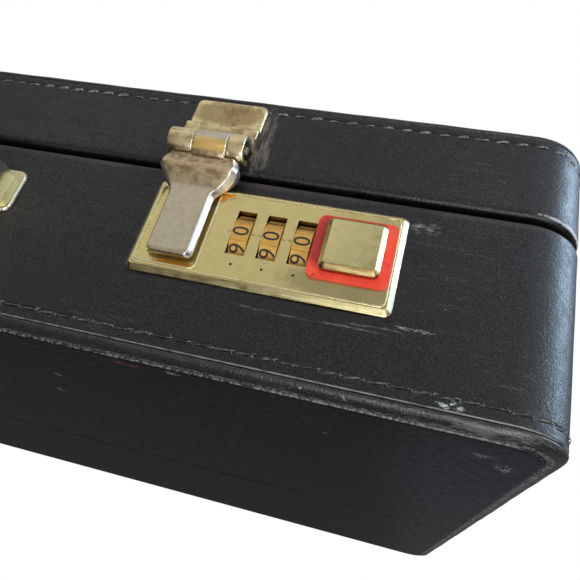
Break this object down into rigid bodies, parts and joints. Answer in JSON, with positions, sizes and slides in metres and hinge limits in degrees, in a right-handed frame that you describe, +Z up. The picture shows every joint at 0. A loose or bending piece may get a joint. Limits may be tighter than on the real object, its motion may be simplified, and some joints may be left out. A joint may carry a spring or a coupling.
{
  "type": "attache case",
  "caption": "Hard-sided black leather briefcase with hinged lid, dust lip, brass hasps, combination dial locks with sliding buttons, swinging handle, folding lid stays and lid pockets.",
  "frame": {"origin": "centre of the underside of the base panel, on which the case lies flat", "axes": "+X along the hinge line, -Y towards the handle and locks, +Y towards the hinges, +Z up from base to lid"},
  "size_m": [0.457, 0.3539, 0.095],
  "materials": {
    "case_leather": "smooth, satin",
    "welt_leather": "smooth, worn grey along the edge",
    "handle_leather": "smooth, satin",
    "pocket_leather": "fine grain, matte",
    "plywood": "raw",
    "lining": "brushed",
    "lip_plastic": "matte black",
    "brass": "polished, lightly tarnished",
    "button_brass": "polished, worn pale at the bevel",
    "hasp_metal": "plated, worn",
    "dial_brass": "warm gold lacquer",
    "red_pad": "glossy red",
    "steel": "zinc plated"
  },
  "bodies": {
    "base": {"base_frame": "plywood", "base_board": "plywood", "base_side_leather": "case_leather", "base_panel_leather": "case_leather", "base_welt": "welt_leather", "base_lip": "lip_plastic", "base_lining": "lining", "hinge_base_leaves": "brass", "hinge_pins": "steel", "base_feet": "brass", "base_rivets": "brass", "left_lock_plate": "brass", "right_lock_plate": "brass", "left_lock_case": "steel", "right_lock_case": "steel", "left_button_pad": "red_pad", "right_button_pad": "red_pad", "dial_spindles": "steel", "dial_springs": "steel", "lock_screws": "steel", "handle_brackets": "brass", "stay_base_brackets": "brass"},
    "lid": {"lid_frame": "plywood", "lid_board": "plywood", "lid_side_leather": "case_leather", "lid_panel_leather": "case_leather", "lid_welt": "welt_leather", "lid_lining": "lining", "hinge_lid_leaves": "brass", "lid_feet": "brass", "lid_rivets": "brass", "left_hasp_leaf": "brass", "right_hasp_leaf": "brass", "left_hasp_pin": "steel", "right_hasp_pin": "steel", "stay_lid_brackets": "brass", "file_pocket_gussets": "pocket_leather", "file_pocket_front": "pocket_leather", "card_pocket": "pocket_leather", "pen_loops": "pocket_leather"},
    "handle": {"handle_grip": "handle_leather", "handle_core": "steel", "handle_end_fittings": "brass"},
    "left_hasp": {"left_hasp_strap": "hasp_metal"},
    "left_button_slide": {"left_button": "button_brass", "left_bolt_slide": "steel"},
    "left_dial_1_wheel": {"left_dial_1": "dial_brass"},
    "left_dial_2_wheel": {"left_dial_2": "dial_brass"},
    "left_dial_3_wheel": {"left_dial_3": "dial_brass"},
    "left_stay_lower": {"left_stay_lower_link": "brass"},
    "left_stay_upper": {"left_stay_upper_link": "brass"},
    "right_hasp": {"right_hasp_strap": "hasp_metal"},
    "right_button_slide": {"right_button": "button_brass", "right_bolt_slide": "steel"},
    "right_dial_1_wheel": {"right_dial_1": "dial_brass"},
    "right_dial_2_wheel": {"right_dial_2": "dial_brass"},
    "right_dial_3_wheel": {"right_dial_3": "dial_brass"},
    "right_stay_lower": {"right_stay_lower_link": "brass"},
    "right_stay_upper": {"right_stay_upper_link": "brass"}
  },
  "joints": [
    {"name": "lid_hinge", "type": "hinge", "parent": "base", "child": "lid", "pos_m": [0, 0.1682, 0.06215], "axis": [-1, 0, 0], "range_deg": [0, 100]},
    {"name": "handle_pivot", "type": "hinge", "parent": "base", "child": "handle", "pos_m": [0, -0.1735, 0.043], "axis": [-1, 0, 0], "range_deg": [0, 95]},
    {"name": "left_hasp_hinge", "type": "hinge", "parent": "lid", "child": "left_hasp", "pos_m": [-0.1172, -0.1705, 0.0673], "axis": [-1, 0, 0], "range_deg": [0, 140]},
    {"name": "left_button_press", "type": "slide", "parent": "base", "child": "left_button_slide", "axis": [1, 0, 0], "range_m": [0, 0.003], "stiffness_N_per_m": 300, "springref_m": -0.003},
    {"name": "left_dial_1_turn", "type": "hinge", "parent": "base", "child": "left_dial_1_wheel", "pos_m": [-0.13475, -0.1593, 0.04115], "axis": [1, 0, 0], "continuous": true},
    {"name": "left_dial_2_turn", "type": "hinge", "parent": "base", "child": "left_dial_2_wheel", "pos_m": [-0.14362, -0.1593, 0.04115], "axis": [1, 0, 0], "continuous": true},
    {"name": "left_dial_3_turn", "type": "hinge", "parent": "base", "child": "left_dial_3_wheel", "pos_m": [-0.15249, -0.1593, 0.04115], "axis": [1, 0, 0], "continuous": true},
    {"name": "left_stay_base_pivot", "type": "hinge", "parent": "base", "child": "left_stay_lower", "pos_m": [-0.21635, 0.1082, 0.02715], "axis": [-1, 0, 0], "range_deg": [-1, 101]},
    {"name": "left_stay_lid_pivot", "type": "hinge", "parent": "lid", "child": "left_stay_upper", "pos_m": [-0.21455, 0.1182, 0.08215], "axis": [-1, 0, 0], "range_deg": [-101, 1]},
    {"name": "right_hasp_hinge", "type": "hinge", "parent": "lid", "child": "right_hasp", "pos_m": [0.1172, -0.1705, 0.0673], "axis": [-1, 0, 0], "range_deg": [0, 140]},
    {"name": "right_button_press", "type": "slide", "parent": "base", "child": "right_button_slide", "axis": [-1, 0, 0], "range_m": [0, 0.003], "stiffness_N_per_m": 300, "springref_m": -0.003},
    {"name": "right_dial_1_turn", "type": "hinge", "parent": "base", "child": "right_dial_1_wheel", "pos_m": [0.13475, -0.1593, 0.04115], "axis": [1, 0, 0], "continuous": true},
    {"name": "right_dial_2_turn", "type": "hinge", "parent": "base", "child": "right_dial_2_wheel", "pos_m": [0.14362, -0.1593, 0.04115], "axis": [1, 0, 0], "continuous": true},
    {"name": "right_dial_3_turn", "type": "hinge", "parent": "base", "child": "right_dial_3_wheel", "pos_m": [0.15249, -0.1593, 0.04115], "axis": [1, 0, 0], "continuous": true},
    {"name": "right_stay_base_pivot", "type": "hinge", "parent": "base", "child": "right_stay_lower", "pos_m": [0.21635, 0.1082, 0.02715], "axis": [-1, 0, 0], "range_deg": [-1, 101]},
    {"name": "right_stay_lid_pivot", "type": "hinge", "parent": "lid", "child": "right_stay_upper", "pos_m": [0.21455, 0.1182, 0.08215], "axis": [-1, 0, 0], "range_deg": [-101, 1]}
  ],
  "couplings": [
    {"joint": "left_stay_base_pivot", "follows": "lid_hinge", "ratio": 1},
    {"joint": "left_stay_lid_pivot", "follows": "lid_hinge", "ratio": -1},
    {"joint": "right_stay_base_pivot", "follows": "lid_hinge", "ratio": 1},
    {"joint": "right_stay_lid_pivot", "follows": "lid_hinge", "ratio": -1}
  ]
}
